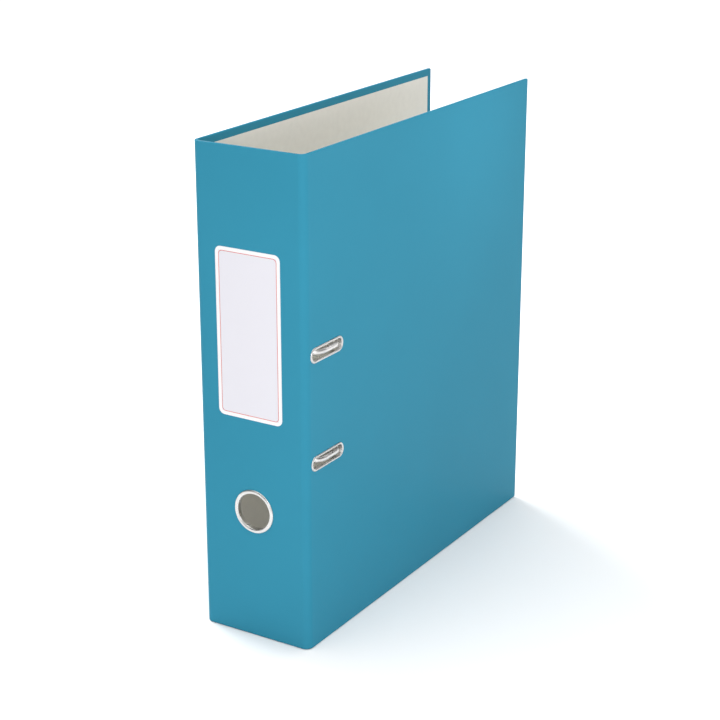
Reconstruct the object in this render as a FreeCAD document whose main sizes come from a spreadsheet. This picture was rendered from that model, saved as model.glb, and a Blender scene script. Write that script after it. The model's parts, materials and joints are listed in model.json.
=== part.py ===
import FreeCAD, Part
import math
import os

# Lever arch file: two covers and a spine folded round an empty paper space,
# with the lifting arch mechanism riveted inside the back cover.
# Frame: +Z up, spine towards -Y, back cover at -X, front cover at +X,
# origin on the floor under the middle. Millimetres.

doc = FreeCAD.newDocument("lever_arch_file")
dims = doc.addObject("Spreadsheet::Sheet", "dims")

SIZES = {
    # the case
    "case_height": 318,
    "case_depth": 285,
    "spine_width": 80,
    "cover_thick": 2.2,
    "foil_thick": 0.25,
    "lining_thick": 0.2,
    "fold_radius": 5,
    "turn_in": 5,
    # finger ring and label on the spine
    "ring_height": 86.4,
    "ring_flange_rad": 14.5,
    "ring_flange_thick": 0.9,
    "ring_hole_rad": 11.8,
    "eyelet_wall": 0.5,
    "eyelet_play": 0.1,
    "washer_thick": 0.4,
    "curl_width": 1.1,
    "curl_thick": 0.4,
    "label_wide": 47,
    "label_high": 108,
    "label_thick": 0.15,
    "label_shift": -1.1,
    "label_bottom": 147.6,
    "label_corner": 4,
    # slots in the front cover
    "slot_spacing": 70,
    "slot_flange_long": 36.3,
    "slot_flange_wide": 10,
    "slot_flange_thick": 0.6,
    "slot_flange_corner": 4.9,
    "slot_rim": 1.6,
    "slot_inset": 0,
    # arches and posts
    "wire_rad": 2,
    "leg_from_spine": 11.5,
    "crest_proud": 1,
    "near_bend": 11,
    "crest_flat": 10,
    "far_bend": 5.5,
    "foot_bend": 5,
    "joint_drop": 17,
    "scarf_half": 3.5,
    "scarf_gap": 0.3,
    "crank_reach": 12,
    "crank_bend": 3,
    "crank_top": 17,
    "crank_low": 7,
    # base plate
    "plate_thick": 1,
    "plate_wide": 47,
    "plate_long": 138,
    "plate_inset": 0.5,
    "plate_corner": 6,
    "ear_thick": 5,
    "ear_wall": 2.2,
    "ear_from_bend": 5,
    "ear_lower": 3,
    "run_play": 0.05,
    "rib_high": 0.5,
    "rivet_rad": 1.9,
    "rivet_head_rad": 4,
    "rivet_head_thick": 0.8,
    "rivet_inner_rad": 3.2,
    "rivet_play": 0.1,
    "rivet_up": 63,
    "rivet_near": 10,
    "rivet_far": 39,
    "spring_thick": 0.45,
    "spring_wide": 7,
    "spring_long": 17,
    "crank_gap": 0.35,
    # lever
    "roller_rad": 3.5,
    "roller_gap": 0.3,
    "axle_rad": 1.5,
    "axle_drop": 14,
    "pin_rad": 2,
    "pin_up": 26,
    "lever_half": 5.5,
    "lever_sheet": 1.2,
    "lever_long": 56,
    "lever_head": 4,
    "cheek_low": 18,
    "cheek_deep": 3,
    "bracket_half": 7,
    "bracket_high": 5,
    "grip_long": 26,
    "grip_thick": 2.6,
    "grip_over": 1,
    # compressor bar
    "bar_thick": 1.2,
    "bar_long": 124,
    "bar_near": 6.1,
    "bar_far": 13,
    "bar_lift": 1.3,
    "bar_play": 0.35,
    "bar_flange": 4,
    "bar_corner": 5,
    "tab_long": 34,
    "tab_wide": 10,
    "tab_high": 5,
}

for row, (key, value) in enumerate(SIZES.items(), start=1):
    dims.set("A%d" % row, key)
    dims.set("B%d" % row, str(value))
    dims.setAlias("B%d" % row, key)

# Derived positions, each a formula in the sheet.
PLACES = {
    "back_out": "-spine_width / 2",
    "back_in": "back_out + cover_thick",
    "front_out": "spine_width / 2",
    "front_in": "front_out - cover_thick",
    "spine_out": "-case_depth / 2",
    "spine_in": "spine_out + cover_thick",
    "fore_edge": "case_depth / 2",
    "cover_start": "spine_out + fold_radius",
    "spine_half": "spine_width / 2 - fold_radius",
    "mech_height": "case_height / 2",
    "slot_along": "cover_start + slot_inset + slot_flange_long / 2",
    # base plate, pivot of the arches and the arches' centre line
    "plate_top": "back_in + plate_thick",
    "plate_near": "cover_start + plate_inset",
    "pivot_deep": "plate_top + spring_thick + crank_gap + wire_rad",
    "pivot_along": "spine_out + leg_from_spine",
    "crest_out": "front_out + crest_proud - wire_rad",
    "near_mid": "crest_out - near_bend",
    "far_mid": "crest_out - far_bend",
    "crest_near": "pivot_along + near_bend",
    "crest_far": "crest_near + crest_flat",
    "post_along": "crest_far + far_bend",
    "joint_out": "crest_out - joint_drop",
    "arch_high": "mech_height + slot_spacing / 2",
    "arch_low": "mech_height - slot_spacing / 2",
    "ear_high": "arch_high - foot_bend - ear_from_bend",
    "ear_low": "arch_low + foot_bend + ear_from_bend + ear_lower",
    # lever, roller and compressor bar
    "crank_along": "pivot_along + crank_reach",
    "roller_mid": "pivot_deep + wire_rad + roller_gap + roller_rad",
    "web_in": "roller_mid + roller_rad + 2 * roller_gap",
    "pin_height": "mech_height + pin_up",
    "axle_height": "pin_height - axle_drop",
    "bar_in": "plate_top + bar_lift",
}
first = len(SIZES) + 2
for row, (key, formula) in enumerate(PLACES.items(), start=first):
    dims.set("A%d" % row, key)
    dims.set("B%d" % row, "=" + formula)
    dims.setAlias("B%d" % row, key)
doc.recompute()

NAMES = sorted(list(SIZES) + list(PLACES), key=len, reverse=True)
V = {key: float(getattr(dims, key)) for key in NAMES}


def link(text):
    """Turn a formula in the sheet's names into one other objects can use."""
    words = []
    word = ""
    for ch in str(text) + " ":
        if ch.isalnum() or ch == "_":
            word += ch
        else:
            words.append("dims." + word if word in V else word)
            words.append(ch)
            word = ""
    return "".join(words).strip()


count = {"n": 0}


def fresh(kind, stem):
    count["n"] += 1
    return doc.addObject(kind, "%s_%03d" % (stem, count["n"]))


def at(obj, x, y, z):
    obj.setExpression("Placement.Base.x", link(x))
    obj.setExpression("Placement.Base.y", link(y))
    obj.setExpression("Placement.Base.z", link(z))


def box(x_lo, x_hi, y_lo, y_hi, z_lo, z_hi):
    """A block between two limits on each axis."""
    obj = fresh("Part::Box", "block")
    obj.setExpression("Length", link("(%s) - (%s)" % (x_hi, x_lo)))
    obj.setExpression("Width", link("(%s) - (%s)" % (y_hi, y_lo)))
    obj.setExpression("Height", link("(%s) - (%s)" % (z_hi, z_lo)))
    at(obj, x_lo, y_lo, z_lo)
    return obj


TURN = {
    "x": FreeCAD.Rotation(FreeCAD.Vector(0, 1, 0), 90),
    "y": FreeCAD.Rotation(FreeCAD.Vector(1, 0, 0), -90),
    "z": FreeCAD.Rotation(),
}


def rod(axis, radius, lo, hi, x="0", y="0", z="0"):
    """A round bar along one axis, from lo to hi."""
    obj = fresh("Part::Cylinder", "rod")
    obj.Placement = FreeCAD.Placement(FreeCAD.Vector(), TURN[axis])
    obj.setExpression("Radius", link(radius))
    obj.setExpression("Height", link("(%s) - (%s)" % (hi, lo)))
    spot = {"x": x, "y": y, "z": z}
    spot[axis] = lo
    at(obj, spot["x"], spot["y"], spot["z"])
    return obj


def bend(centre, radius, start, end):
    """A quarter turn of wire; start and end point from the centre to its two ends."""
    obj = fresh("Part::Torus", "bend")
    a = FreeCAD.Vector(*start)
    b = FreeCAD.Vector(*end)
    turn = FreeCAD.Rotation(a, b, a.cross(b), "XYZ")
    obj.Placement = FreeCAD.Placement(FreeCAD.Vector(), turn)
    obj.setExpression("Radius1", link(radius))
    obj.setExpression("Radius2", link("wire_rad"))
    obj.Angle3 = 90
    at(obj, *centre)
    return obj


def fuse(*parts):
    obj = fresh("Part::MultiFuse", "joined")
    obj.Shapes = list(parts)
    obj.Refine = True
    return obj


def cut(base, *tools):
    for tool in tools:
        obj = fresh("Part::Cut", "cut")
        obj.Base = base
        obj.Tool = tool
        obj.Refine = True
        base = obj
    return base


def common(one, two):
    obj = fresh("Part::Common", "shared")
    obj.Base = one
    obj.Tool = two
    return obj


def rounded(base, radius, test):
    """Fillet the edges that the test picks."""
    doc.recompute()
    picked = []
    for number, edge in enumerate(base.Shape.Edges, start=1):
        if test(edge):
            picked.append((number, radius, radius))
    obj = fresh("Part::Fillet", "rounded")
    obj.Base = base
    obj.Edges = picked
    return obj


def along(axis):
    """A test for straight edges that run along one axis."""
    direction = {"x": (1, 0, 0), "y": (0, 1, 0), "z": (0, 0, 1)}[axis]
    line = FreeCAD.Vector(*direction)

    def test(edge):
        if edge.Curve.TypeId != "Part::GeomLine":
            return False
        return abs(edge.Curve.Direction.dot(line)) > 0.999
    return test


def on_plane(axis, value):
    """A test for edges that lie wholly at one coordinate."""
    def test(edge):
        low = getattr(edge.BoundBox, axis.upper() + "Min")
        high = getattr(edge.BoundBox, axis.upper() + "Max")
        return abs(low - value) < 0.01 and abs(high - value) < 0.01
    return test


NODES = []


def node(obj, name):
    obj.Label = name
    NODES.append(obj)
    return obj


# ---------------------------------------------------------------- the covers
def cover_parts(side):
    """Board, foil and lining of one cover: side is -1 for the back, 1 for the front."""
    if side < 0:
        board_x = ("back_out + foil_thick", "back_in - lining_thick")
        skin_x = ("back_out", "back_in")
        lining_x = ("back_in - lining_thick", "back_in")
    else:
        board_x = ("front_in + lining_thick", "front_out - foil_thick")
        skin_x = ("front_in", "front_out")
        lining_x = ("front_in", "front_in + lining_thick")
    y_end = "fore_edge - foil_thick"
    z_end = "case_height - foil_thick"

    def board():
        return box(board_x[0], board_x[1], "cover_start", y_end, "0", z_end)

    def lining():
        return box(lining_x[0], lining_x[1], "cover_start", "fore_edge - turn_in",
                   "turn_in", "case_height - turn_in")

    skin = box(skin_x[0], skin_x[1], "cover_start", "fore_edge", "0", "case_height")
    foil = cut(skin, board(), lining())
    return board(), foil, lining()


RIVETS = []
for up in ("mech_height - rivet_up", "mech_height + rivet_up"):
    for across in ("plate_near + rivet_near", "plate_near + rivet_far"):
        RIVETS.append((across, up))


def rivet_holes():
    return [rod("x", "rivet_rad + rivet_play", "back_out - 1", "plate_top + 1", y=y, z=z)
            for y, z in RIVETS]


board, foil, lining = cover_parts(-1)
node(cut(board, *rivet_holes()), "back_board")
node(cut(foil, *rivet_holes()), "back_wrap")
node(cut(lining, *rivet_holes()), "back_lining")


def slot_block(x_lo, x_hi, grow, up, corner):
    """A rounded rectangular block on a slot's centre, grown outward from the opening."""
    half_y = "(slot_flange_long / 2 - slot_rim + %s)" % grow
    half_z = "(slot_flange_wide / 2 - slot_rim + %s)" % grow
    raw = box(x_lo, x_hi, "slot_along - " + half_y, "slot_along + " + half_y,
              up + " - " + half_z, up + " + " + half_z)
    return rounded(raw, corner, along("x"))


SLOTS = {"upper": "arch_high", "lower": "arch_low"}
OPEN_CORNER = V["slot_flange_corner"] - V["slot_rim"]
WALL_CORNER = OPEN_CORNER + V["eyelet_wall"]


def slot_holes():
    grow = "eyelet_wall + eyelet_play"
    corner = WALL_CORNER + V["eyelet_play"]
    return [slot_block("front_in - 1", "front_out + 1", grow, up, corner)
            for up in SLOTS.values()]


board, foil, lining = cover_parts(1)
node(cut(board, *slot_holes()), "front_board")
node(cut(foil, *slot_holes()), "front_wrap")
node(cut(lining, *slot_holes()), "front_lining")

for which, up in SLOTS.items():
    flange = slot_block("front_out", "front_out + slot_flange_thick", "slot_rim", up,
                        V["slot_flange_corner"])
    flange = rounded(flange, V["slot_flange_thick"] * 0.8,
                     on_plane("x", V["front_out"] + V["slot_flange_thick"]))
    barrel = slot_block("front_in - washer_thick - curl_thick", "front_out + 0.3",
                        "eyelet_wall", up, WALL_CORNER)
    curl = slot_block("front_in - washer_thick - curl_thick", "front_in - washer_thick",
                      "curl_width", up, OPEN_CORNER + V["curl_width"])
    opening = slot_block("front_in - 3", "front_out + 3", "0", up, OPEN_CORNER)
    node(cut(fuse(flange, barrel, curl), opening), "slot_eyelet_" + which)
    outer = slot_block("front_in - washer_thick", "front_in", "slot_rim", up,
                       V["slot_flange_corner"])
    inner = slot_block("front_in - washer_thick - 1", "front_in + 1",
                       "eyelet_wall + eyelet_play", up, WALL_CORNER + V["eyelet_play"])
    node(cut(outer, inner), "slot_washer_" + which)

# ----------------------------------------------------------------- the spine
RING_OUT = "ring_hole_rad + eyelet_wall"


def ring_hole():
    return rod("y", RING_OUT + " + eyelet_play", "spine_out - 1", "spine_in + 2",
               x="0", z="ring_height")


def spine_box(y_lo, y_hi, z_lo, z_hi):
    return box("-spine_half", "spine_half", y_lo, y_hi, z_lo, z_hi)


def spine_board_block():
    return spine_box("spine_out + foil_thick", "spine_in - lining_thick", "0",
                     "case_height - foil_thick")


def spine_lining_block():
    return spine_box("spine_in - lining_thick", "spine_in", "0", "case_height - turn_in")


node(cut(spine_board_block(), ring_hole()), "spine_board")
spine_skin = spine_box("spine_out", "spine_in", "0", "case_height")
node(cut(spine_skin, spine_board_block(), spine_lining_block(), ring_hole()), "spine_wrap")
node(cut(spine_lining_block(), ring_hole()), "spine_lining")

flange = rod("y", "ring_flange_rad", "spine_out - ring_flange_thick", "spine_out",
             z="ring_height")
flange = rounded(flange, V["ring_flange_thick"] * 0.85,
                 on_plane("y", V["spine_out"] - V["ring_flange_thick"]))
barrel = rod("y", RING_OUT, "spine_out - 0.3", "spine_in + washer_thick + curl_thick",
             z="ring_height")
curl = rod("y", "ring_hole_rad + curl_width", "spine_in + washer_thick",
           "spine_in + washer_thick + curl_thick", z="ring_height")
opening = rod("y", "ring_hole_rad", "spine_out - 3", "spine_in + 3", z="ring_height")
node(cut(fuse(flange, barrel, curl), opening), "finger_ring")
disc = rod("y", "ring_flange_rad", "spine_in", "spine_in + washer_thick", z="ring_height")
node(cut(disc, ring_hole()), "finger_ring_washer")

label = box("label_shift - label_wide / 2", "label_shift + label_wide / 2",
            "spine_out - label_thick", "spine_out", "label_bottom",
            "label_bottom + label_high")
node(rounded(label, V["label_corner"], along("y")), "spine_label")

for side, name in ((-1, "back_hinge_fold"), (1, "front_hinge_fold")):
    middle = "%d * spine_half" % side
    outer = rod("z", "fold_radius", "0", "case_height", x=middle, y="cover_start")
    inner = rod("z", "fold_radius - cover_thick", "-1", "case_height + 1", x=middle,
                y="cover_start")
    if side < 0:
        corner = box("back_out", "-spine_half", "spine_out", "cover_start", "0",
                     "case_height")
    else:
        corner = box("spine_half", "front_out", "spine_out", "cover_start", "0",
                     "case_height")
    node(cut(common(outer, corner), inner), name)

# ------------------------------------------------------------ the base plate
plate = box("back_in", "plate_top", "plate_near", "plate_near + plate_wide",
            "mech_height - plate_long / 2", "mech_height + plate_long / 2")
plate = rounded(plate, V["plate_corner"], along("x"))
far_side = "plate_near + plate_wide"
rib = box("back_in", "plate_top + rib_high", far_side + " - 6", far_side + " - 3",
          "mech_height - plate_long / 2 + 14", "mech_height + plate_long / 2 - 14")
pieces = [plate, rib]
EAR = "wire_rad + run_play + ear_wall"
for up in ("ear_high", "ear_low"):
    z_lo = up + " - ear_thick / 2"
    z_hi = up + " + ear_thick / 2"
    pieces.append(rod("z", EAR, z_lo, z_hi, x="pivot_deep", y="pivot_along"))
    pieces.append(box("back_in", "pivot_deep", "pivot_along - (%s)" % EAR,
                      "pivot_along + (%s)" % EAR, z_lo, z_hi))
for side in (-1, 1):
    mid = "crank_along + %d * bracket_half" % side
    y_lo = mid + " - lever_sheet / 2"
    y_hi = mid + " + lever_sheet / 2"
    pieces.append(rod("y", "bracket_high", y_lo, y_hi, x="roller_mid", z="pin_height"))
    pieces.append(box("back_in", "roller_mid", y_lo, y_hi, "pin_height - bracket_high",
                      "pin_height + bracket_high"))
plate = fuse(*pieces)
inside = box("back_in - 9", "back_in", "plate_near - 5", "plate_near + plate_wide + 5",
             "mech_height - plate_long", "mech_height + plate_long")
holes = rivet_holes()
holes.append(rod("z", "wire_rad + run_play", "mech_height - plate_long",
                 "mech_height + plate_long", x="pivot_deep", y="pivot_along"))
holes.append(rod("y", "pin_rad", "crank_along - 20", "crank_along + 20", x="roller_mid",
                 z="pin_height"))
for up in SLOTS.values():
    holes.append(rod("x", "wire_rad", "back_in - 1", "plate_top + 1", y="post_along", z=up))
node(cut(plate, inside, *holes), "base_plate")

heads = []
for y, z in RIVETS:
    heads.append(rod("x", "rivet_rad", "back_out - rivet_head_thick", "plate_top + 0.5",
                     y=y, z=z))
    head = rod("x", "rivet_head_rad", "back_out - rivet_head_thick", "back_out", y=y, z=z)
    heads.append(rounded(head, V["rivet_head_thick"] * 0.8,
                         on_plane("x", V["back_out"] - V["rivet_head_thick"])))
    heads.append(rod("x", "rivet_inner_rad", "plate_top", "plate_top + 0.7", y=y, z=z))
node(fuse(*heads), "base_rivets")

strip = box("plate_top", "plate_top + spring_thick", "crank_along - spring_long / 2 + 4",
            "crank_along + spring_long / 2 + 4", "axle_height - spring_wide / 2",
            "axle_height + spring_wide / 2")
stud = rod("x", "1.8", "plate_top", "plate_top + spring_thick + 0.4",
           y="crank_along + spring_long / 2", z="axle_height")
node(fuse(strip, stud), "leaf_spring")

node(rod("y", "pin_rad", "crank_along - bracket_half - 1.1",
         "crank_along + bracket_half + 0.9", x="roller_mid", z="pin_height"),
     "lever_pivot_pin")


# ---------------------------------------------------------- posts and arches
def scarf(up, grow, side):
    """A slab on one side of the slanting plane where arch and post meet."""
    reach = FreeCAD.Vector(V["joint_out"] - V["pivot_deep"],
                           V["post_along"] - V["pivot_along"], 0)
    reach.normalize()
    angle = math.degrees(FreeCAD.Vector(1, 0, 0).getAngle(reach))
    turn = FreeCAD.Rotation(FreeCAD.Vector(0, 0, 1), angle)
    slab = fresh("Part::Box", "slab")
    slab.Length = 60
    slab.Width = 30
    slab.Height = 20
    low = grow if side > 0 else -30 - grow
    corner = turn.multVec(FreeCAD.Vector(-30, low, -10))
    slab.Placement = FreeCAD.Placement(FreeCAD.Vector(), turn)
    at(slab, "joint_out + (%.9f)" % corner.x, "post_along + (%.9f)" % corner.y,
       up + " + (%.9f)" % corner.z)
    return slab


HALF_GAP = V["scarf_gap"] / 2
for which, up in SLOTS.items():
    raw = rod("x", "wire_rad", "back_in", "joint_out + scarf_half", y="post_along", z=up)
    node(cut(raw, scarf(up, -HALF_GAP, -1)), "post_" + which)

wire = []
for up, sign in (("arch_high", 1), ("arch_low", -1)):
    raw = rod("x", "wire_rad", "joint_out - scarf_half", "far_mid", y="post_along", z=up)
    wire.append(cut(raw, scarf(up, -HALF_GAP, 1)))
    wire.append(bend(("far_mid", "crest_far", up), "far_bend", (0, 1, 0), (1, 0, 0)))
    wire.append(rod("y", "wire_rad", "crest_near", "crest_far", x="crest_out", z=up))
    wire.append(bend(("near_mid", "crest_near", up), "near_bend", (1, 0, 0), (0, -1, 0)))
    wire.append(rod("x", "wire_rad", "pivot_deep + foot_bend", "near_mid",
                    y="pivot_along", z=up))
    wire.append(bend(("pivot_deep + foot_bend", "pivot_along",
                      up + " - (%d) * foot_bend" % sign),
                     "foot_bend", (0, 0, sign), (-1, 0, 0)))
top = "mech_height + crank_top"
low = "mech_height + crank_low"
wire.append(rod("z", "wire_rad", top + " + crank_bend", "arch_high - foot_bend",
                x="pivot_deep", y="pivot_along"))
wire.append(bend(("pivot_deep", "pivot_along + crank_bend", top + " + crank_bend"),
                 "crank_bend", (0, -1, 0), (0, 0, -1)))
wire.append(rod("y", "wire_rad", "pivot_along + crank_bend", "crank_along - crank_bend",
                x="pivot_deep", z=top))
wire.append(bend(("pivot_deep", "crank_along - crank_bend", top + " - crank_bend"),
                 "crank_bend", (0, 0, 1), (0, 1, 0)))
wire.append(rod("z", "wire_rad", low + " + crank_bend", top + " - crank_bend",
                x="pivot_deep", y="crank_along"))
wire.append(bend(("pivot_deep", "crank_along - crank_bend", low + " + crank_bend"),
                 "crank_bend", (0, 1, 0), (0, 0, -1)))
wire.append(rod("y", "wire_rad", "pivot_along + crank_bend", "crank_along - crank_bend",
                x="pivot_deep", z=low))
wire.append(bend(("pivot_deep", "pivot_along + crank_bend", low + " - crank_bend"),
                 "crank_bend", (0, 0, 1), (0, -1, 0)))
wire.append(rod("z", "wire_rad", "arch_low + foot_bend", low + " - crank_bend",
                x="pivot_deep", y="pivot_along"))
node(fuse(*wire), "arch_wire")

# ---------------------------------------------------------------- the lever
LEFT = "crank_along - lever_half"
RIGHT = "crank_along + lever_half"
lever_foot = "pin_height - lever_long"
web = box("web_in", "web_in + lever_sheet", LEFT, RIGHT, lever_foot,
          "pin_height + lever_head")
sheets = [web]
for lo, hi in ((LEFT, LEFT + " + lever_sheet"), (RIGHT + " - lever_sheet", RIGHT)):
    sheets.append(box("roller_mid - cheek_deep", "web_in + lever_sheet / 2", lo, hi,
                      "axle_height - cheek_deep", "pin_height + lever_head"))
    sheets.append(box("web_in - cheek_deep", "web_in + lever_sheet / 2", lo, hi,
                      "pin_height - lever_long + cheek_low", "axle_height"))
lever = fuse(*sheets)
pin_hole = rod("y", "pin_rad + run_play", LEFT + " - 1", RIGHT + " + 1", x="roller_mid",
               z="pin_height")
axle_hole = rod("y", "axle_rad", LEFT + " - 1", RIGHT + " + 1", x="roller_mid",
                z="axle_height")
node(cut(lever, pin_hole, axle_hole), "lever")

grip = box("web_in + lever_sheet", "web_in + lever_sheet + grip_thick",
           LEFT + " - grip_over", RIGHT + " + grip_over", lever_foot + " - 2",
           lever_foot + " + grip_long")
grip = rounded(grip, 4.5, along("x"))
node(rounded(grip, 1.2, on_plane("x", V["web_in"] + V["lever_sheet"] + V["grip_thick"])),
     "lever_grip")

node(rod("y", "axle_rad", LEFT + " - 0.5", RIGHT + " + 0.5", x="roller_mid",
         z="axle_height"), "roller_axle")
drum = rod("y", "roller_rad", LEFT + " + lever_sheet + 0.2", RIGHT + " - lever_sheet - 0.2",
           x="roller_mid", z="axle_height")
bore = rod("y", "axle_rad + run_play", LEFT + " - 1", RIGHT + " + 1", x="roller_mid",
           z="axle_height")
node(cut(drum, bore), "roller")

# ----------------------------------------------------------- compressor bar
flat = box("bar_in", "bar_in + bar_thick", "post_along - bar_near", "post_along + bar_far",
           "mech_height - bar_long / 2", "mech_height + bar_long / 2")
flat = rounded(flat, V["bar_corner"], along("x"))
lip = box("bar_in", "bar_in + bar_flange", "post_along + bar_far - bar_thick",
          "post_along + bar_far", "mech_height - bar_long / 2 + bar_corner + 2",
          "mech_height + bar_long / 2 - bar_corner - 2")
holes = [rod("x", "wire_rad + bar_play", "bar_in - 1", "bar_in + 9", y="post_along", z=up)
         for up in SLOTS.values()]
node(cut(fuse(flat, lip), *holes), "compressor_bar")
tab = box("bar_in + bar_thick", "bar_in + bar_thick + tab_high",
          "post_along + 3 - tab_wide / 2", "post_along + 3 + tab_wide / 2",
          "mech_height - tab_long / 2", "mech_height + tab_long / 2")
tab = rounded(tab, 3, along("x"))
node(rounded(tab, 1.5, on_plane("x", V["bar_in"] + V["bar_thick"] + V["tab_high"])),
     "compressor_tab")

doc.recompute()
faults = []
for obj in doc.Objects:
    if "Invalid" in obj.State or "Error" in obj.State:
        faults.append(obj.Name + " state " + str(obj.State))
for obj in NODES:
    if obj.Shape.isNull() or not obj.Shape.isValid() or not obj.Shape.Solids:
        faults.append(obj.Label + " has no valid solid")
if faults:
    raise RuntimeError("; ".join(faults))

os.makedirs("parts", exist_ok=True)
for obj in NODES:
    obj.Shape.exportStep("parts/" + obj.Label + ".step")
    print(obj.Label, len(obj.Shape.Solids), round(obj.Shape.Volume, 1))
print(len(NODES), "nodes")
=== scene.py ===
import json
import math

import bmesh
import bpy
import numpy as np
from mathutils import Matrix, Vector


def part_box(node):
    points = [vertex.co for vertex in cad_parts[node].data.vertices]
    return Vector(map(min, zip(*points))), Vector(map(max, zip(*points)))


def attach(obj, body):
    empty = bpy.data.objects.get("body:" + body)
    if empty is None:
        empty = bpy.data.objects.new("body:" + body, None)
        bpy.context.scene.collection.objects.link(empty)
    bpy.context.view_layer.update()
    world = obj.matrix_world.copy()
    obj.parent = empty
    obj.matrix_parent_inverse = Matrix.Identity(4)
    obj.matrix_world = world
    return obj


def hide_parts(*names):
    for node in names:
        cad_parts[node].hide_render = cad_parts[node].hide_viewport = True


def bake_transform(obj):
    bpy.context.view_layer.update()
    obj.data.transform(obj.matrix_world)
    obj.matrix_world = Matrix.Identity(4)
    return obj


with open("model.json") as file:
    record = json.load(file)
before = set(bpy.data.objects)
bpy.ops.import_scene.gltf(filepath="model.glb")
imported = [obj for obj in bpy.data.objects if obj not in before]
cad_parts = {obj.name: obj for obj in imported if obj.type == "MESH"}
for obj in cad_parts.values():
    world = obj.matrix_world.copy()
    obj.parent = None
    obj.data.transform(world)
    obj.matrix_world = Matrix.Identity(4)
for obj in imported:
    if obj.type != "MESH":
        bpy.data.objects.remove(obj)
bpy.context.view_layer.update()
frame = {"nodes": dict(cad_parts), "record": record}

# %% [markdown]
# # A lever arch file
#
# Two stiff covers and a spine, wrapped in coloured foil and lined with paper,
# stand folded round an empty space for paper. Inside the back cover sits a
# sprung mechanism whose two wire arches reach into slots in the front cover.
# The engineering model is loaded first: it fixes every size and every joint.
# Here each part gets its real surface and finish, and parts whose edges are
# too crisp to pass for real are rebuilt on the same sizes.

MM = 0.001
MIDDLE = (0, 0, 0.16)


def corners(node):
    """The low and the high corner of a part's box, as arrays."""
    return [np.array(corner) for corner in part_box(node)]



# %% [markdown]
# ## The camera
#
# A product shot of a tall box is taken from a little above and well to one
# side of the spine, with a long lens so that the covers hardly converge. The
# camera could be aimed with a constraint, but plain angles are easier to read
# back and to correct: turn about the vertical first, then tip down.

# %% Camera
camera_data = bpy.data.cameras.new("product_camera")
camera = bpy.data.objects.new("product_camera", camera_data)
bpy.context.scene.collection.objects.link(camera)
CAMERA_PLACE = (0.5921, -0.9757, 0.5442)
CAMERA_TURN = 0.553
CAMERA_TIP = 0.337
LENS_MM = 89.12
camera.location = CAMERA_PLACE
camera.rotation_euler = (math.pi / 2 - CAMERA_TIP, 0, CAMERA_TURN)
camera_data.sensor_width = 36
camera_data.lens = LENS_MM
camera_data.clip_start = 0.05
camera_data.clip_end = 30
bpy.context.scene.camera = camera
print("camera stands", round(math.dist(CAMERA_PLACE, MIDDLE), 2), "m away")

# %% [markdown]
# ## The room
#
# A catalogue picture has no visible room: a white sweep and broad soft light.
# The floor only looks white if it gets more light than the object does, so a
# wide overhead sun is added: it falls flat on the floor and only grazes the
# upright covers. One soft lamp near the corner shapes the spine and the front
# cover, which both fade away from it. A faint lamp at the side gives the cover
# its lighter patch. A lamp behind the back cover reaches over it to the top of
# the lining; it stands well off the mirror direction of the camera, or the top
# edges of the foil would shine white. Colours are kept plain by the standard
# view transform, so white stays white.

# %% World, floor and lamps
scene = bpy.context.scene
scene.view_settings.view_transform = "Standard"
world = bpy.data.worlds.new("white_studio")
world.use_nodes = True
scene.world = world
world.node_tree.nodes["Background"].inputs["Color"].default_value = (1, 1, 1, 1)
world.node_tree.nodes["Background"].inputs["Strength"].default_value = 0.16


def area_lamp(name, place, aim, size, power):
    """A square soft lamp at a place, facing a point."""
    data = bpy.data.lights.new(name, "AREA")
    data.shape = "SQUARE"
    data.size = size
    data.energy = power
    lamp = bpy.data.objects.new(name, data)
    bpy.context.scene.collection.objects.link(lamp)
    lamp.visible_camera = False
    lamp.location = place
    direction = np.array(aim, float) - np.array(place, float)
    flat = math.hypot(direction[0], direction[1])
    lamp.rotation_euler = (math.pi / 2 + math.atan2(direction[2], flat), 0,
                           math.atan2(-direction[0], direction[1]))
    print(name, power, "W")


def overhead_sun(name, spread_degrees, strength):
    """A sun straight above, so wide that its shadows have no edge."""
    data = bpy.data.lights.new(name, "SUN")
    data.angle = math.radians(spread_degrees)
    data.energy = strength
    sun = bpy.data.objects.new(name, data)
    bpy.context.scene.collection.objects.link(sun)
    sun.location.z = 2
    print(name, strength, "W per square metre")


FOLD_UPPER = (0.03, -0.13, 0.2)
COVER_UPPER = (0.04, 0.06, 0.29)
area_lamp("corner_lamp", (0.355, -0.43, 0.36), FOLD_UPPER, size=0.28, power=0.95)
area_lamp("side_lamp", (0.16, 0.07, 0.31), COVER_UPPER, size=0.08, power=0.045)
area_lamp("back_lamp", (-1.7, 0.6, 1.5), MIDDLE, size=1.2, power=40)
overhead_sun("overhead_sun", spread_degrees=70, strength=2.6)

# %% [markdown]
# ## Finishes
#
# Each finish is one small network of procedural nodes: a noise for the colour
# that drifts a little over the sheet, a noise for the roughness, and a bump
# for the grain. All of them read Object coordinates, which are the true
# metres of the model, so that a grain of 0.4 mm is 0.4 mm on every part.

# %% Node helpers
def new_finish(name):
    """An empty material with its shader, ready for nodes."""
    material = bpy.data.materials.new(name)
    material.use_nodes = True
    tree = material.node_tree
    shader = tree.nodes["Principled BSDF"]
    place = tree.nodes.new("ShaderNodeTexCoord").outputs["Object"]
    return material, tree, shader, place


def noise(tree, place, size_mm, detail=3, stretch=(1, 1, 1)):
    """Noise whose features are about size_mm across; stretch divides along an axis."""
    scale = tree.nodes.new("ShaderNodeMapping")
    scale.inputs["Scale"].default_value = [1 / s for s in stretch]
    tree.links.new(place, scale.inputs["Vector"])
    node = tree.nodes.new("ShaderNodeTexNoise")
    node.inputs["Scale"].default_value = 1 / (size_mm * MM)
    node.inputs["Detail"].default_value = detail
    tree.links.new(scale.outputs["Vector"], node.inputs["Vector"])
    return node.outputs["Fac"]


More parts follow.
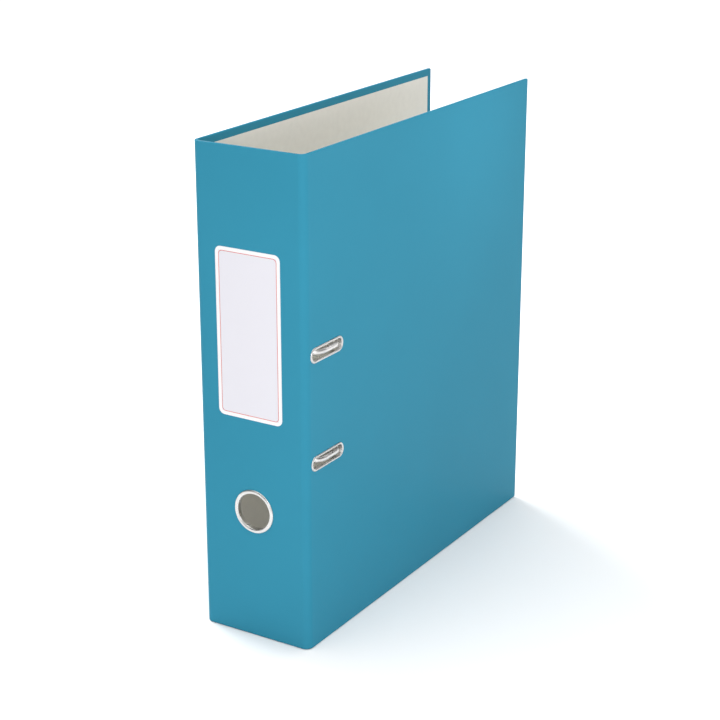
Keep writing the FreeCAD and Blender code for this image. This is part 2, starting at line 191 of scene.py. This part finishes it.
def spread(tree, value, low, high):
    """Carry a noise, which lives near 0.5, onto a range of numbers."""
    node = tree.nodes.new("ShaderNodeMapRange")
    node.inputs["From Min"].default_value = 0.3
    node.inputs["From Max"].default_value = 0.7
    node.inputs["To Min"].default_value = low
    node.inputs["To Max"].default_value = high
    tree.links.new(value, node.inputs["Value"])
    return node.outputs["Result"]


def two_colours(tree, value, one, other):
    """Mix two colours by a value."""
    node = tree.nodes.new("ShaderNodeMix")
    node.data_type = "RGBA"
    node.inputs["A"].default_value = (*one, 1)
    node.inputs["B"].default_value = (*other, 1)
    tree.links.new(value, node.inputs["Factor"])
    return node.outputs["Result"]


def grain(tree, height, depth_mm, shader, under=None):
    """A bump of this depth, on top of another bump if one is given."""
    node = tree.nodes.new("ShaderNodeBump")
    node.inputs["Strength"].default_value = 1
    node.inputs["Distance"].default_value = depth_mm * MM
    tree.links.new(height, node.inputs["Height"])
    if under is not None:
        tree.links.new(under, node.inputs["Normal"])
    tree.links.new(node.outputs["Normal"], shader.inputs["Normal"])
    return node.outputs["Normal"]


def arithmetic(tree, operation, value, other=None):
    """One sum on a value; the other term is a number or a node's output."""
    node = tree.nodes.new("ShaderNodeMath")
    node.operation = operation
    tree.links.new(value, node.inputs[0])
    if isinstance(other, float):
        node.inputs[1].default_value = other
    elif other is not None:
        tree.links.new(other, node.inputs[1])
    return node.outputs[0]


def tint(colour, factor):
    """The same colour, a little lighter or darker."""
    return tuple(min(1, c * factor) for c in colour)


# %% [markdown]
# ### Foil
#
# The covers are laminated with polypropylene foil: satin, with a fine
# embossed grain, and never quite flat because the board under it has a slow
# waviness. A flat colour would look like paint; the two bumps, one of 0.45 mm
# and one of 45 mm, make the soft patches of light break up as they do on foil.

# %% Blue foil
FOIL_BLUE = (0.037, 0.257, 0.379)


def foil_finish():
    """Satin foil: colour that hardly drifts, slow waves and a fine grain."""
    material, tree, shader, place = new_finish("blue_foil_satin")
    drift = spread(tree, noise(tree, place, 60), 0, 1)
    colour = two_colours(tree, drift, tint(FOIL_BLUE, 0.985), tint(FOIL_BLUE, 1.015))
    tree.links.new(colour, shader.inputs["Base Color"])
    tree.links.new(spread(tree, noise(tree, place, 25), 0.28, 0.30),
                   shader.inputs["Roughness"])
    shader.inputs["Specular IOR Level"].default_value = 0.025
    waves = grain(tree, noise(tree, place, 45, 1), 0.015, shader)
    grain(tree, noise(tree, place, 0.45, 2), 0.004, shader, waves)
    return material


foil = foil_finish()

# %% [markdown]
# ### Papers and board
#
# The lining is uncoated light grey paper and shows faint fibre clouds. Raw
# greyboard is recycled pulp, so it is speckled. The label is coated card,
# smoother and whiter, and slightly greyer inside its printed border.

# %% Lining paper, greyboard and label card
LINING_GREY = (0.83, 0.814, 0.757)
BOARD_GREY = (0.36, 0.34, 0.30)


def paper_finish(name, colour, rough, fibre_mm, depth_mm, contrast):
    """Uncoated paper: cloudy colour, rough, with a fibre bump."""
    material, tree, shader, place = new_finish(name)
    clouds = spread(tree, noise(tree, place, fibre_mm * 6, 5), 0, 1)
    mixed = two_colours(tree, clouds, tint(colour, 1 - contrast), tint(colour, 1 + contrast))
    tree.links.new(mixed, shader.inputs["Base Color"])
    tree.links.new(spread(tree, noise(tree, place, fibre_mm * 3), rough - 0.05, rough + 0.05),
                   shader.inputs["Roughness"])
    shader.inputs["Specular IOR Level"].default_value = 0.3
    grain(tree, noise(tree, place, fibre_mm, 4), depth_mm, shader)
    return material


lining = paper_finish("lining_paper_grey", LINING_GREY, 0.78, 0.8, 0.02, 0.02)
board = paper_finish("greyboard_raw", BOARD_GREY, 0.85, 0.6, 0.05, 0.12)

# %% Label card, whiter outside the printed border
LABEL_LOW, LABEL_HIGH = corners("spine_label")
LABEL_MARGIN = 2.4 * MM
LABEL_FIELD = (0.72, 0.71, 0.764)
LABEL_EDGE = (0.85, 0.85, 0.86)


def label_finish():
    """Coated card in two whites: the field, and the margin outside the border."""
    material, tree, shader, place = new_finish("label_card_coated")
    parts = tree.nodes.new("ShaderNodeSeparateXYZ")
    tree.links.new(place, parts.inputs["Vector"])
    outside = []
    for axis, output in ((0, "X"), (2, "Z")):
        middle = (LABEL_LOW[axis] + LABEL_HIGH[axis]) / 2
        half = (LABEL_HIGH[axis] - LABEL_LOW[axis]) / 2 - LABEL_MARGIN
        away = arithmetic(tree, "SUBTRACT", parts.outputs[output], middle)
        distance = arithmetic(tree, "ABSOLUTE", away)
        outside.append(arithmetic(tree, "GREATER_THAN", distance, half))
    either = arithmetic(tree, "MAXIMUM", *outside)
    field = two_colours(tree, either, LABEL_FIELD, LABEL_EDGE)
    tree.links.new(field, shader.inputs["Base Color"])
    tree.links.new(spread(tree, noise(tree, place, 8), 0.44, 0.52), shader.inputs["Roughness"])
    grain(tree, noise(tree, place, 0.5, 3), 0.004, shader)
    return material


label_card = label_finish()

# %% [markdown]
# ### Metals and plastics
#
# Eyelets, arches and lever are nickel plated, bright but softly so; the base
# plate is zinc plated and duller; the spring is blued steel. All carry
# faint rolling or drawing marks, made by stretching a noise along one axis.

# %% Plated steels
def metal_finish(name, colour, rough, marks_mm, along, depth_mm):
    """Plated sheet or wire: stretched marks in colour, roughness and bump."""
    material, tree, shader, place = new_finish(name)
    shader.inputs["Metallic"].default_value = 1
    marks = noise(tree, place, marks_mm, 4, along)
    mixed = two_colours(tree, spread(tree, marks, 0, 1), tint(colour, 0.94), colour)
    tree.links.new(mixed, shader.inputs["Base Color"])
    cloud = noise(tree, place, marks_mm * 12, 2)
    tree.links.new(spread(tree, cloud, rough * 0.75, rough * 1.3), shader.inputs["Roughness"])
    grain(tree, marks, depth_mm, shader)
    return material


NICKEL = (0.66, 0.652, 0.64)
ZINC = (0.66, 0.67, 0.68)
BLUED = (0.20, 0.22, 0.27)
nickel = metal_finish("nickel_bright", NICKEL, 0.28, 0.5, (1, 1, 5), 0.0015)
wire_steel = metal_finish("nickel_wire", tint(NICKEL, 1.15), 0.3, 0.4, (8, 1, 1), 0.0012)
zinc = metal_finish("zinc_sheet", ZINC, 0.34, 0.8, (1, 1, 9), 0.004)
blued = metal_finish("blued_spring", BLUED, 0.30, 0.5, (1, 9, 1), 0.002)


# %% Moulded plastics and the printed line
def plastic_finish(name, colour, rough, grain_mm, depth_mm):
    """Moulded plastic: an eroded mould grain and a soft drift in gloss."""
    material, tree, shader, place = new_finish(name)
    drift = spread(tree, noise(tree, place, 9), 0, 1)
    mixed = two_colours(tree, drift, tint(colour, 0.92), tint(colour, 1.08))
    tree.links.new(mixed, shader.inputs["Base Color"])
    tree.links.new(spread(tree, noise(tree, place, 3), rough - 0.04, rough + 0.06),
                   shader.inputs["Roughness"])
    grain(tree, noise(tree, place, grain_mm, 2), depth_mm, shader)
    return material


BLACK = (0.018, 0.018, 0.020)
NATURAL = (0.66, 0.65, 0.60)
PRINT_RED = (0.62, 0.085, 0.075)
black_grip = plastic_finish("grip_plastic_black", BLACK, 0.42, 0.3, 0.012)
acetal = plastic_finish("roller_acetal", NATURAL, 0.35, 0.4, 0.004)
red_print = plastic_finish("red_print", PRINT_RED, 0.50, 0.2, 0.001)

# %% Every part of the model takes its finish
FINISH_BY_SLOT = {
    "greyboard": board, "blue_foil": foil, "lining_paper": lining, "nickel": nickel,
    "zinc_plate": zinc, "steel_wire": wire_steel, "spring_steel": blued,
    "label_card": label_card, "black_plastic": black_grip, "roller_plastic": acetal,
}
for part in frame["record"]["subparts"]:
    mesh = frame["nodes"][part["node"]].data
    mesh.materials.clear()
    mesh.materials.append(FINISH_BY_SLOT[part["material_slot"]])
print(len(frame["nodes"]), "parts finished with", len(FINISH_BY_SLOT), "finishes")

# %% [markdown]
# ## Making surfaces
#
# A new piece is an array of points with two parameters: the station along it
# and the place round its section. The faces between neighbouring points are
# the same for every such grid, so one function makes them all.

# %% Grid to mesh
def grid_mesh(points, closed_length, name, finish, flat_above=None):
    """Points of shape (stations, round, 3): quads join each point to the next
    round the section and to the next station. Open lengths get an end face.
    Faces of flat_above square metres or more are shaded flat."""
    stations, turn = points.shape[:2]
    index = np.arange(stations * turn).reshape(stations, turn)
    here = index if closed_length else index[:-1]
    after = np.roll(index, -1, axis=0) if closed_length else index[1:]
    quads = np.stack([here, np.roll(here, -1, axis=1), np.roll(after, -1, axis=1), after],
                     axis=-1).reshape(-1, 4).tolist()
    if not closed_length:
        quads += [index[0][::-1].tolist(), index[-1].tolist()]
    mesh = bpy.data.meshes.new(name)
    mesh.from_pydata(points.reshape(-1, 3).tolist(), [], quads)
    tidy = bmesh.new()
    tidy.from_mesh(mesh)
    bmesh.ops.remove_doubles(tidy, verts=tidy.verts, dist=1e-7)
    bmesh.ops.recalc_face_normals(tidy, faces=tidy.faces)
    for face in tidy.faces:
        face.smooth = flat_above is None or face.calc_area() < flat_above
    tidy.to_mesh(mesh)
    tidy.free()
    mesh.materials.append(finish)
    piece = bpy.data.objects.new(name, mesh)
    bpy.context.scene.collection.objects.link(piece)
    print(name, len(mesh.polygons), "faces")
    return piece


def arc(start, stop, steps):
    """Angles in radians from start to stop degrees."""
    return np.radians(np.linspace(start, stop, steps))


CREASE = math.radians(35)
around = arc(0, 360, 97)[:-1]


# %% [markdown]
# ## The case
#
# Each panel is board wrapped in foil, so its edges are soft, about half a
# millimetre round. It is lofted: a flat section, rounded at its two long
# edges, is carried along the panel and shrinks into a rounded end. The panels
# have no rounding where a fold joins them, so that the foil runs straight on.

# %% Sizes of the case, read from the model
BACK_LOW, BACK_HIGH = corners("back_wrap")
FRONT_LOW, FRONT_HIGH = corners("front_wrap")
SPINE_LOW, SPINE_HIGH = corners("spine_wrap")
HEIGHT = SPINE_HIGH[2]
EDGE = 0.55 * MM
CORNER = 1.4 * MM
PAPER = 0.1 * MM
THICK = SPINE_HIGH[1] - SPINE_LOW[1]
FOLD_RADIUS = FRONT_LOW[1] - SPINE_LOW[1]
TURN_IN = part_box("front_lining")[0][2]
FLAT_AREA = 500 * MM * MM
print("fold radius", round(FOLD_RADIUS / MM, 2), "mm, board", round(THICK / MM, 2), "mm")


# %% A panel with soft edges
def end_stations(low, high, radius, steps=7):
    """Places along a length, even at first and closer round the far end:
    place = high - r (1 - sin angle)."""
    sweep = arc(0, 90, steps)
    run = low + (high - low) * np.linspace(0, 1, 12)[:-1]
    run = run[run < high - radius]
    tail = high - radius * (1 - np.sin(sweep))
    return np.concatenate([run, tail])


def depth_at(places, high, radius):
    """How far a rounded end has drawn in at each place, by its distance from
    the end: depth = r - sqrt(r^2 - (r - distance)^2)."""
    near = np.clip(radius - (high - places), 0, radius)
    return radius - np.sqrt(np.maximum(radius ** 2 - near ** 2, 0))


def rounded_section(low, high, inset_a, inset_b, radius, steps=6):
    """A rectangle in (a, b) with quarter-round corners, drawn in by two insets:
    a = half - r + r cos angle, b = half - r + r sin angle, in each quarter."""
    corner = arc(0, 90, steps)
    a_mid = (low[0] + high[0]) / 2
    b_mid = (low[1] + high[1]) / 2
    a_half = (high[0] - low[0]) / 2 - inset_a
    b_half = (high[1] - low[1]) / 2 - inset_b
    r = np.maximum(radius - inset_a, radius * 0.02)
    quarter = np.stack([a_half - r + r * np.cos(corner), b_half - r + r * np.sin(corner)], 1)
    flip = np.array([-1, 1])
    whole = np.concatenate([quarter, quarter[::-1] * flip, -quarter, -quarter[::-1] * flip])
    return whole + np.array([a_mid, b_mid])


def cover_panel(name, x_low, x_high, y_low, y_high):
    """A cover: its section is thickness by height, carried from fold to fore edge."""
    places = end_stations(y_low, y_high, CORNER)
    thin = depth_at(places, y_high, EDGE)
    short = depth_at(places, y_high, CORNER)
    rings = []
    for y, inset_x, inset_z in zip(places, thin, short):
        ring = rounded_section((x_low, 0), (x_high, HEIGHT), inset_x, inset_z, EDGE)
        rings.append(np.column_stack([ring[:, 0], np.full(len(ring), y), ring[:, 1]]))
    return grid_mesh(np.array(rings), False, name, foil, FLAT_AREA)


def spine_panel(name):
    """The spine: its section is thickness by height, flat at both ends, where
    the folds go on."""
    rings = []
    for x in np.linspace(SPINE_LOW[0], SPINE_HIGH[0], 8):
        ring = rounded_section((SPINE_LOW[1], 0), (SPINE_HIGH[1] - PAPER, HEIGHT), 0, 0, EDGE)
        rings.append(np.column_stack([np.full(len(ring), x), ring[:, 0], ring[:, 1]]))
    return grid_mesh(np.array(rings), False, name, foil, FLAT_AREA)


# %% [markdown]
# ## Cutting the holes
#
# The punched slots and the finger hole go right through. A boolean does this
# cleanly on a flat panel: the cutter is built, used once and thrown away, and
# the result is stored as a plain mesh.

# %% Punch
SLOTS = ("slot_eyelet_upper", "slot_eyelet_lower")
SLOT_RIM = 1.6 * MM
SLOT_CORNER = 3.3 * MM
HOLE_PLAY = 0.55 * MM
PUNCH_REACH = 10 * MM


def punch(piece, cutters):
    """Subtract each cutter from the piece and keep only the result."""
    for cutter in cutters:
        change = piece.modifiers.new("punch", "BOOLEAN")
        change.operation = "DIFFERENCE"
        change.solver = "EXACT"
        change.object = cutter
    settled = piece.evaluated_get(bpy.context.evaluated_depsgraph_get())
    result = bpy.data.meshes.new_from_object(settled)
    piece.modifiers.clear()
    piece.data = result
    for cutter in cutters:
        bpy.data.objects.remove(cutter)
    print(piece.name, "punched", len(cutters), "times")


def prism(section, low, high, axis, name="cutter", finish=foil):
    """A straight bar with this outline, from low to high along an axis (0, 1 or 2)."""
    rings = []
    for level in (low, high):
        rings.append(np.insert(section, axis, level, axis=1))
    return grid_mesh(np.array(rings), False, name, finish, 0)


def slot_outline(node, grow, steps=12):
    """The slot's outline in (y, z), offset outward from the opening by grow, so
    that its corners grow by as much."""
    low, high = corners(node)
    radius = SLOT_CORNER + grow
    inset = SLOT_RIM - grow
    return rounded_section((low[1] + inset, low[2] + inset), (high[1] - inset, high[2] - inset),
                           0, 0, radius, steps)


# %% Build the three panels
back_panel = cover_panel("back_cover_case", BACK_LOW[0], BACK_HIGH[0] - PAPER,
                         BACK_LOW[1], BACK_HIGH[1])
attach(back_panel, "back_cover")
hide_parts("back_wrap", "back_board")

front_panel = cover_panel("front_cover_case", FRONT_LOW[0] + PAPER, FRONT_HIGH[0],
                          FRONT_LOW[1], FRONT_HIGH[1])
punch(front_panel, [prism(slot_outline(node, HOLE_PLAY), FRONT_LOW[0] - PUNCH_REACH,
                          FRONT_HIGH[0] + PUNCH_REACH, 0) for node in SLOTS])
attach(front_panel, "front_cover")
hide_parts("front_wrap", "front_board")

RING_LOW, RING_HIGH = corners("finger_ring")
RING_MID = (RING_LOW + RING_HIGH) / 2
RING_OUT = (RING_HIGH[0] - RING_LOW[0]) / 2
RING_HOLE = 11.8 * MM
spine_case = spine_panel("spine_case")
circle = np.stack([RING_MID[0] + (RING_HOLE + HOLE_PLAY) * np.cos(around),
                   RING_MID[2] + (RING_HOLE + HOLE_PLAY) * np.sin(around)], 1)
punch(spine_case, [prism(circle, SPINE_LOW[1] - PUNCH_REACH, SPINE_HIGH[1] + PUNCH_REACH, 1)])
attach(spine_case, "spine")
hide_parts("spine_wrap", "spine_board")

# %% The spine's lining, a sheet with the same margins as in the covers
sheet_outline = np.array([[SPINE_LOW[0], TURN_IN], [SPINE_HIGH[0], TURN_IN],
                          [SPINE_HIGH[0], HEIGHT - TURN_IN], [SPINE_LOW[0], HEIGHT - TURN_IN]])
spine_sheet = prism(sheet_outline, SPINE_HIGH[1] - 2 * PAPER, SPINE_HIGH[1], 1,
                    "spine_lining_sheet", lining)
punch(spine_sheet, [prism(circle, SPINE_LOW[1] - PUNCH_REACH, SPINE_HIGH[1] + PUNCH_REACH, 1)])
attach(spine_sheet, "spine")
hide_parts("spine_lining")

# %% [markdown]
# ## The folds
#
# Between spine and cover the board stops and only foil and paper go round a radius of 5 mm. Its
# outside is foil and its inside paper, but for the margins at top and bottom, where the foil is
# turned in.

# %% A quarter-round strip
def fold_section(inner):
    """The panels' rounded section, with points more on its long sides: inside,
    where the paper starts and ends, and outside, to keep the shading level."""
    section = rounded_section((inner, 0), (FOLD_RADIUS, HEIGHT), 0, 0, EDGE)
    half = len(section) // 2
    margins = [[inner, HEIGHT - TURN_IN], [inner, TURN_IN]]
    outer = [[FOLD_RADIUS, 2 * EDGE], [FOLD_RADIUS, HEIGHT - 2 * EDGE]]
    return np.concatenate([section[:half], margins, section[half:], outer])


def fold_strip(name, side):
    """Points at angle t round the fold's centre, at the section's radii:
    x = centre + side r sin t, y = centre - r cos t."""
    centre = np.array([side * SPINE_HIGH[0], SPINE_LOW[1] + FOLD_RADIUS])
    inner = FOLD_RADIUS - THICK
    section = fold_section(inner)
    rings = []
    for t in arc(0, 90, 25):
        x = centre[0] + side * section[:, 0] * np.sin(t)
        y = centre[1] - section[:, 0] * np.cos(t)
        rings.append(np.column_stack([x, y, section[:, 1]]))
    strip = grid_mesh(np.array(rings), False, name, foil)
    strip.data.materials.append(lining)
    middles = np.empty(len(strip.data.polygons) * 3)
    strip.data.polygons.foreach_get("center", middles)
    middles = middles.reshape(-1, 3)
    away = np.hypot(middles[:, 0] - centre[0], middles[:, 1] - centre[1])
    inside = away < inner + PAPER
    paper = inside & (middles[:, 2] > TURN_IN) & (middles[:, 2] < HEIGHT - TURN_IN)
    strip.data.polygons.foreach_set("material_index", paper.astype(np.int32))
    strip.data.set_sharp_from_angle(angle=CREASE)
    return strip, centre


for side, cover, node in ((-1, "back_cover", "back_hinge_fold"),
                          (1, "front_cover", "front_hinge_fold")):
    strip, centre = fold_strip(node.replace("hinge_fold", "fold_strip"), side)
    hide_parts(node)
    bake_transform(strip)

# %% [markdown]
# ## Eyelets
#
# Finger ring and slot frames are drawn from thin sheet: a domed flange
# outside, a short wall through the board, and an edge curled over a washer
# behind. One profile serves both. On the ring it is turned round an axis; on
# the slots it is carried along the outline and pushed outward from it.

# %% The eyelet's profile
def eyelet_profile(rim, dome, through, wall, curl_wide, curl_deep):
    """(offset, height) points: a half ellipse for the dome, the wall's inside,
    a half ellipse for the curl, and the wall's outside back up."""
    sweep = arc(0, 180, 17)
    dome_part = np.stack([rim / 2 + rim / 2 * np.cos(sweep), dome * np.sin(sweep)], 1)
    drop = np.linspace(0, -through, 5)[1:-1]
    wall_part = np.stack([np.zeros_like(drop), drop], 1)
    curl_part = np.stack([curl_wide / 2 - curl_wide / 2 * np.cos(sweep),
                          -through - curl_deep * np.sin(sweep)], 1)
    back_part = np.array([[wall, -through], [wall, 0]])
    return np.concatenate([dome_part, wall_part, curl_part, back_part])


WASHER = 0.4 * MM
REST_OF_EYELET = {"through": THICK + WASHER, "wall": 0.5 * MM,
                  "curl_wide": 1.1 * MM, "curl_deep": 0.4 * MM}
ring_shape = eyelet_profile(RING_OUT - RING_HOLE, 0.9 * MM, **REST_OF_EYELET)
slot_shape = eyelet_profile(SLOT_RIM, 0.6 * MM, **REST_OF_EYELET)


# %% Finger ring
def turned_ring(name, profile):
    """The profile turned about the ring's axis: radius = hole + offset."""
    t = around[:, None]
    radius = RING_HOLE + profile[None, :, 0]
    points = np.stack([RING_MID[0] + radius * np.cos(t),
                       SPINE_LOW[1] - profile[None, :, 1] + 0 * t,
                       RING_MID[2] + radius * np.sin(t)], -1)
    return grid_mesh(points, True, name, nickel)


ring = turned_ring("finger_ring_domed", ring_shape)
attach(ring, "spine")
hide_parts("finger_ring")


# %% Slot frames
def slot_frame(name, node, profile):
    """The profile carried round the slot: each offset is one outline."""
    lines = [slot_outline(node, offset, 14) for offset in profile[:, 0]]
    heights = FRONT_HIGH[0] + profile[:, 1]
    rings = [np.insert(line, 0, height, axis=1) for line, height in zip(lines, heights)]
    return grid_mesh(np.array(rings).transpose(1, 0, 2), True, name, nickel)


for node in SLOTS:
    piece = slot_frame(node + "_domed", node, slot_shape)
    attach(piece, "front_cover")
    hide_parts(node)

# %% [markdown]
# ## Arches and posts
#
# Both arches, the bar that joins them and the crank are one bent wire. A path
# of straight runs and quarter bends is laid out in order, and a circle is
# carried along it without twisting. At the tip the wire is cut on a slant, and
# the post it meets is cut the other way, so that the joint closes flush.

# %% The wire's path
WIRE = 2.0 * MM
WIRE_LOW, WIRE_HIGH = corners("arch_wire")
POST_LOW, POST_HIGH = corners("post_upper")
LOW_Z = sum(corners("post_lower"))[2] / 2
PIVOT = np.array([WIRE_LOW[0] + WIRE, WIRE_LOW[1] + WIRE])
CREST_X = WIRE_HIGH[0] - WIRE
POST_Y = (POST_LOW[1] + POST_HIGH[1]) / 2
HIGH_Z = (POST_LOW[2] + POST_HIGH[2]) / 2
FAR_BEND = 5.5 * MM
NEAR_BEND = 11 * MM
FOOT_BEND = 5 * MM
CRANK_BEND = 3 * MM
MIDDLE_Z = (HIGH_Z + LOW_Z) / 2
CRANK_Y = PIVOT[1] + 12 * MM
CRANK_TOP = MIDDLE_Z + 17 * MM
CRANK_LOW = MIDDLE_Z + 7 * MM
JOINT_X = CREST_X - 17 * MM
JOINT_HALF = 3.5 * MM


def quarter(centre, radius, start, end, steps=14):
    """A quarter turn: centre + r (start cos t + end sin t)."""
    t = arc(0, 90, steps)[:, None]
    return np.array(centre) + radius * (np.array(start) * np.cos(t) + np.array(end) * np.sin(t))


def one_arch(z, sign):
    """From the tip over the flat crest, down the leg and into the base bar."""
    near_x = CREST_X - NEAR_BEND
    far_x = CREST_X - FAR_BEND
    near_y = PIVOT[1] + NEAR_BEND
    far_y = POST_Y - FAR_BEND
    foot = (PIVOT[0] + FOOT_BEND, PIVOT[1], z - sign * FOOT_BEND)
    return np.concatenate([
        np.linspace((JOINT_X - JOINT_HALF, POST_Y, z), (far_x, POST_Y, z), 8)[:-1],
        quarter((far_x, far_y, z), FAR_BEND, (0, 1, 0), (1, 0, 0), 20),
        quarter((near_x, near_y, z), NEAR_BEND, (1, 0, 0), (0, -1, 0), 24),
        quarter(foot, FOOT_BEND, (0, 0, sign), (-1, 0, 0)),
    ])


def crank():
    """The bar's step out to the roller and back, from top to bottom."""
    x, y = PIVOT
    r = CRANK_BEND
    return np.concatenate([
        quarter((x, y + r, CRANK_TOP + r), r, (0, -1, 0), (0, 0, -1), 10),
        quarter((x, CRANK_Y - r, CRANK_TOP - r), r, (0, 0, 1), (0, 1, 0), 10),
        quarter((x, CRANK_Y - r, CRANK_LOW + r), r, (0, 1, 0), (0, 0, -1), 10),
        quarter((x, y + r, CRANK_LOW - r), r, (0, 0, 1), (0, -1, 0), 10),
    ])


wire_path = np.concatenate([one_arch(HIGH_Z, 1), crank(), one_arch(LOW_Z, -1)[::-1]])
length = np.linalg.norm(np.diff(wire_path, axis=0), axis=1).sum()
print("wire cut length", round(length / MM), "mm")


# %% A round wire along a path
def round_wire(path, radius, turn=24):
    """A circle at each station, turned with the path but never about it: each
    frame is the last one tipped by the change of direction."""
    ahead = np.gradient(path, axis=0)
    ahead /= np.linalg.norm(ahead, axis=1)[:, None]
    side = np.cross(ahead[0], (0, 0, 1.0))
    side /= np.linalg.norm(side)
    sides = [side]
    for direction in ahead[1:]:
        side = side - direction * (side @ direction)
        side = side / np.linalg.norm(side)
        sides.append(side)
    sides = np.array(sides)
    ups = np.cross(ahead, sides)
    t = arc(0, 360, turn + 1)[:-1]
    rings = (path[:, None] + radius * (np.cos(t)[None, :, None] * sides[:, None]
                                       + np.sin(t)[None, :, None] * ups[:, None]))
    return rings


def slanting_end(y, gap):
    """Where the slanting cut crosses the wire at each y: the cut's plane runs
    from the pivot's axis through the joint."""
    slope = (JOINT_X - PIVOT[0]) / (POST_Y - PIVOT[1])
    return JOINT_X + (y - POST_Y + gap) * slope


def cut_tip(rings, stations, gap):
    """Slide the first straight stations so that the wire ends on the slant."""
    fixed = rings[stations, :, 0]
    target = np.maximum(JOINT_X - JOINT_HALF, slanting_end(rings[0, :, 1], gap))
    share = np.linspace(0, 1, stations + 1)[:, None]
    rings[:stations + 1, :, 0] = target + (fixed - target) * share
    return rings


GAP = 0.17 * MM
TIP_STATIONS = 7
rings = round_wire(wire_path, WIRE)
rings = cut_tip(rings, TIP_STATIONS, GAP)
rings = cut_tip(rings[::-1].copy(), TIP_STATIONS, GAP)
arches = grid_mesh(rings, False, "arch_wire_bent", wire_steel)
arches.data.set_sharp_from_angle(angle=CREASE)
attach(arches, "arches")
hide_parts("arch_wire")


# %% The two posts
def post(name, z):
    """A straight wire from the base to the slant, on the other side of the gap."""
    t = around[::3]
    y = POST_Y + WIRE * np.cos(t)
    top = np.minimum(JOINT_X + JOINT_HALF, slanting_end(y, -GAP))
    share = np.linspace(0, 1, 12)[:, None]
    x = POST_LOW[0] + (top - POST_LOW[0]) * share
    points = np.stack([x, y + 0 * share, z + WIRE * np.sin(t) + 0 * share], -1)
    piece = grid_mesh(points, False, name, wire_steel)
    piece.data.set_sharp_from_angle(angle=CREASE)
    return piece


for node, z in (("post_upper", HIGH_Z), ("post_lower", LOW_Z)):
    piece = post(node + "_round", z)
    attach(piece, "back_cover")
    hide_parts(node)

# %% [markdown]
# ## The label's printed border
#
# A thin red line runs inside the label's edge. It could be a pattern in the
# card's finish, but printed ink has a crisp edge at any distance, so it is a
# hair-thin band of its own, just proud of the card.

# %% Border line
LINE = 0.38 * MM
LINE_PROUD = 0.03 * MM
LINE_CORNER = 2.6 * MM


def border_line():
    """The band between two rounded rectangles, with its front and its back."""
    rings = []
    front = LABEL_LOW[1] - LINE_PROUD
    back = LABEL_LOW[1]
    for inset, y in ((0, front), (LINE, front), (LINE, back), (0, back)):
        edge = LABEL_MARGIN + inset
        ring = rounded_section((LABEL_LOW[0] + edge, LABEL_LOW[2] + edge),
                               (LABEL_HIGH[0] - edge, LABEL_HIGH[2] - edge),
                               0, 0, LINE_CORNER - inset, 10)
        rings.append(np.insert(ring, 1, y, axis=1))
    return grid_mesh(np.array(rings).transpose(1, 0, 2), True, "label_border_line", red_print, 0)


line = border_line()
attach(line, "spine")

# %% [markdown]
# ## Soft edges on the pressed and moulded parts
#
# Sheet steel is sheared and tumbled, so no edge is truly sharp. The model's
# own meshes are loose triangles: they are welded, and a small bevel then
# catches the light along each edge.

# %% Weld and bevel
SHEARED_ANGLE = math.radians(40)
WELD_REACH = 0.002 * MM
EDGE_BY_NODE = {
    "base_plate": 0.18, "lever": 0.22, "compressor_bar": 0.2, "leaf_spring": 0.08,
    "lever_pivot_pin": 0.25, "roller": 0.3, "roller_axle": 0.2,
}
for node, width in EDGE_BY_NODE.items():
    part = frame["nodes"][node]
    weld = part.modifiers.new("weld", "WELD")
    weld.merge_threshold = WELD_REACH
    soft = part.modifiers.new("soft_edges", "BEVEL")
    soft.width = width * MM
    soft.segments = 2
    soft.limit_method = "ANGLE"
    soft.angle_limit = SHEARED_ANGLE
    soft.use_clamp_overlap = True
print(len(EDGE_BY_NODE), "parts get soft edges")

# %% [markdown]
# ## The sweep
#
# A flat floor ends in a hard horizon as soon as the camera is low. This one is
# a very shallow bowl: flat where the file stands, then rising so slowly that
# floor and backdrop are one pale surface.

# %% Floor
FLAT_REACH = 2.5
SWEEP_REACH = 9.0
SWEEP_RISE = 1.9
FLOOR_GAP = 0.3 * MM


def sweep_mesh():
    """Rings about the vertical: height = rise ((radius - flat) / (reach - flat))^2."""
    radius = np.linspace(FLAT_REACH, SWEEP_REACH, 25)[:, None]
    turn = arc(0, 360, 97)[None, :-1]
    rise = SWEEP_RISE * ((radius - FLAT_REACH) / (SWEEP_REACH - FLAT_REACH)) ** 2
    points = np.stack([radius * np.cos(turn), radius * np.sin(turn), rise + 0 * turn], -1)
    index = np.arange(points.shape[0] * points.shape[1]).reshape(points.shape[:2])
    quads = np.stack([index[:-1], np.roll(index[:-1], -1, axis=1),
                      np.roll(index[1:], -1, axis=1), index[1:]], axis=-1)
    faces = quads.reshape(-1, 4)[:, ::-1].tolist() + [index[0].tolist()]
    mesh = bpy.data.meshes.new("floor")
    mesh.from_pydata(points.reshape(-1, 3).tolist(), [], faces)
    mesh.shade_smooth()
    return mesh


floor_mesh = sweep_mesh()
floor = bpy.data.objects.new("floor", floor_mesh)
bpy.context.scene.collection.objects.link(floor)
floor.location.z = -FLOOR_GAP


def floor_finish():
    """Matt white with a very slow, very slight drift."""
    material, tree, shader, place = new_finish("pale_floor")
    soft = two_colours(tree, spread(tree, noise(tree, place, 400), 0, 1),
                       (0.93, 0.93, 0.93), (0.95, 0.95, 0.95))
    tree.links.new(soft, shader.inputs["Base Color"])
    shader.inputs["Roughness"].default_value = 0.9
    shader.inputs["Specular IOR Level"].default_value = 0.1
    return material


floor_mesh.materials.append(floor_finish())
